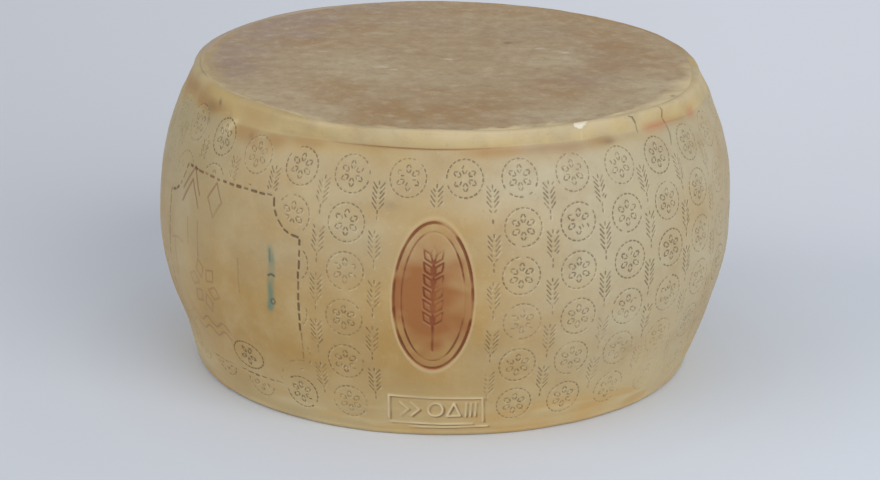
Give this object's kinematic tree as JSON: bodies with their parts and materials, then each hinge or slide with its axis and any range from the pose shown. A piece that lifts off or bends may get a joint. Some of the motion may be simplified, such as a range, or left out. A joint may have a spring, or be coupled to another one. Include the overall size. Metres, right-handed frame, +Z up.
{
  "type": "cheese wheel",
  "caption": "Whole wheel of hard, long-aged cheese: a barrel-sided drum with a pale rim round a flat brown top, standing on its flat base.",
  "frame": {"origin": "middle of the wheel's box at its flat base", "axes": "+Z up out of the top face; -Y towards the side that carries the burnt oval mark; +X to the right of that side"},
  "size_m": [0.4106, 0.4094, 0.2173],
  "materials": {
    "rind": "hard waxy rind, satin, with pressed marks, brown smudges and a rough brown top"
  },
  "bodies": {
    "root": {"cheese_wheel": "rind"}
  },
  "joints": []
}
